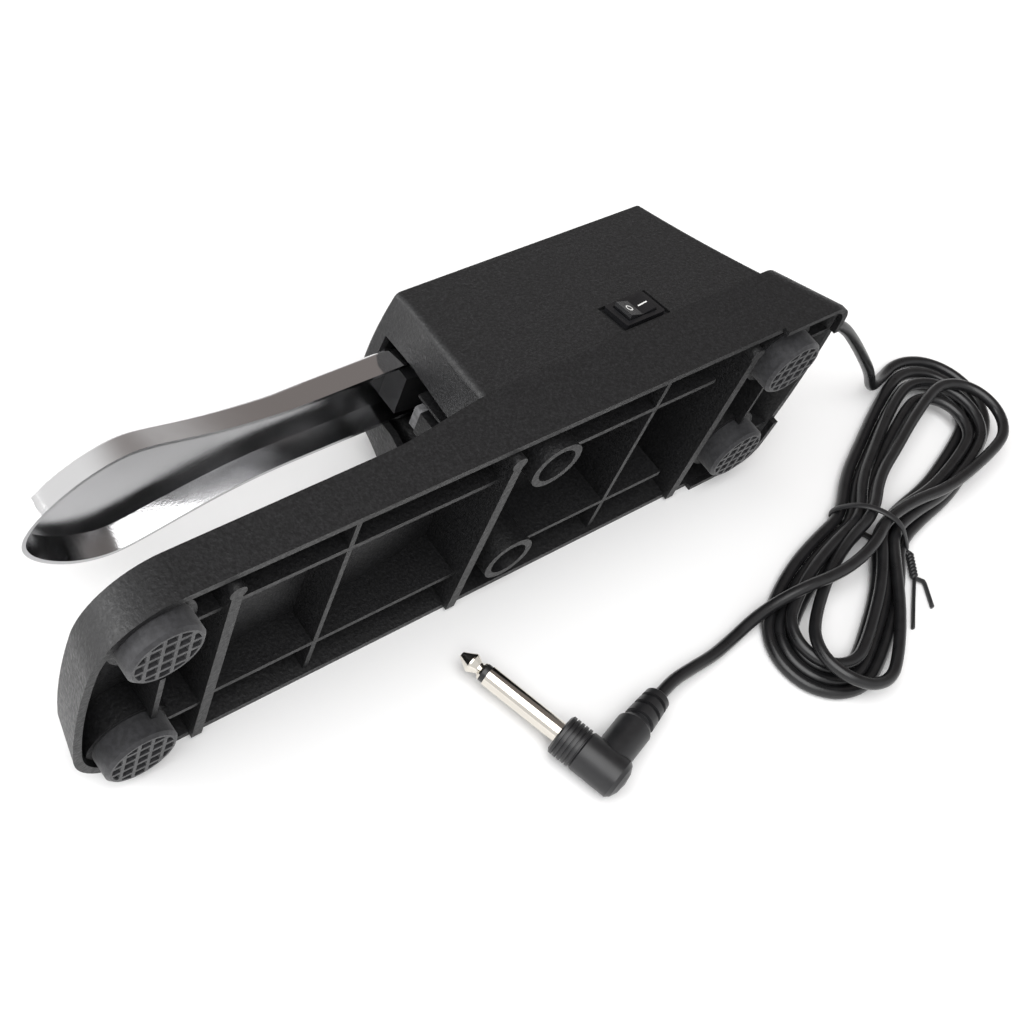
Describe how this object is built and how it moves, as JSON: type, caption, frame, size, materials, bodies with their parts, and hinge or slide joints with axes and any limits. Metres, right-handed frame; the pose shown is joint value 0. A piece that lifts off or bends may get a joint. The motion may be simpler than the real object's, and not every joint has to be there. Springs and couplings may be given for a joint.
{
  "type": "sustain pedal",
  "caption": "Piano-style sustain pedal on its side: ribbed base tray, tapered housing, sprung chrome lever, polarity rocker, and a tied lead with a right-angle jack plug.",
  "frame": {"origin": "on the floor, under the middle of the pedal's own box (base, housing, lever and feet), without the cord and the plug", "axes": "+Z up from the floor on which the pedal lies on its side; +X from the lever's toe end to the cord end; +Y the pedal's own up, from the feet to the housing's top. In use the pedal is turned about X so that +Y points up and it stands on its four feet."},
  "size_m": [0.3583, 0.1549, 0.08],
  "materials": {
    "base_plastic": "fine spark texture outside, smoother moulded inside, black",
    "housing_plastic": "fine spark texture, black",
    "lever_chrome": "bright chrome on pressed steel",
    "carrier_plastic": "smooth black moulding",
    "foot_rubber": "dark rubber with a waffle face",
    "pad_rubber": "grey soft rubber",
    "felt": "black wool felt",
    "steel": "ground steel",
    "screw_zinc": "zinc plated steel",
    "spring_steel": "drawn spring wire",
    "bush_nylon": "natural nylon",
    "switch_body": "black phenolic",
    "switch_plunger": "red nylon",
    "rocker_black": "semi-gloss black",
    "brass_lug": "tinned brass",
    "cord_pvc": "soft black PVC, satin",
    "grommet_pvc": "soft black PVC",
    "tie_pvc": "PVC coated wire, satin black",
    "plug_nickel": "nickel plate, polished",
    "plug_band": "black insulating ring",
    "plug_moulding": "moulded soft PVC, black"
  },
  "bodies": {
    "base": {"base_shell": "base_plastic", "upper_housing": "housing_plastic", "pivot_pin": "steel", "housing_screws": "screw_zinc", "return_spring": "spring_steel", "rest_stop_felt": "felt", "down_stop_pad": "pad_rubber", "micro_switch_body": "switch_body", "switch_bracket": "steel", "switch_screws": "screw_zinc", "rocker_frame": "rocker_black", "rocker_terminals": "brass_lug", "cord_grommet": "grommet_pvc", "cord_inner": "cord_pvc", "foot_front_a": "foot_rubber", "foot_front_b": "foot_rubber", "foot_rear_a": "foot_rubber", "foot_rear_b": "foot_rubber", "cord_lead": "cord_pvc", "cord_hank": "cord_pvc", "cord_tail": "cord_pvc", "twist_tie": "tie_pvc", "plug_tip": "plug_nickel", "plug_insulator": "plug_band", "plug_sleeve": "plug_nickel", "plug_head": "plug_moulding", "plug_boot": "plug_moulding"},
    "lever": {"pedal_lever": "lever_chrome", "lever_carrier": "carrier_plastic", "lever_screws": "screw_zinc", "pivot_bush_a": "bush_nylon", "pivot_bush_b": "bush_nylon"},
    "plunger": {"micro_switch_plunger": "switch_plunger"},
    "rocker": {"rocker_button": "rocker_black"}
  },
  "joints": [
    {"name": "pedal", "type": "hinge", "parent": "base", "child": "lever", "pos_m": [0.0675, 0.0143, 0.04], "axis": [0, 0, 1], "range_deg": [0, 5.8], "stiffness_Nm_per_rad": 8, "springref_deg": -6.88},
    {"name": "switch_plunger", "type": "slide", "parent": "base", "child": "plunger", "axis": [0, -1, 0], "range_m": [0, 0.0013]},
    {"name": "polarity_rocker", "type": "hinge", "parent": "base", "child": "rocker", "pos_m": [0.0598, -0.00331, 0.0748], "axis": [0, 0.9783, -0.207], "range_deg": [-8, 0]}
  ],
  "couplings": [
    {"joint": "switch_plunger", "follows": "pedal", "m_per_rad": 0.012}
  ]
}
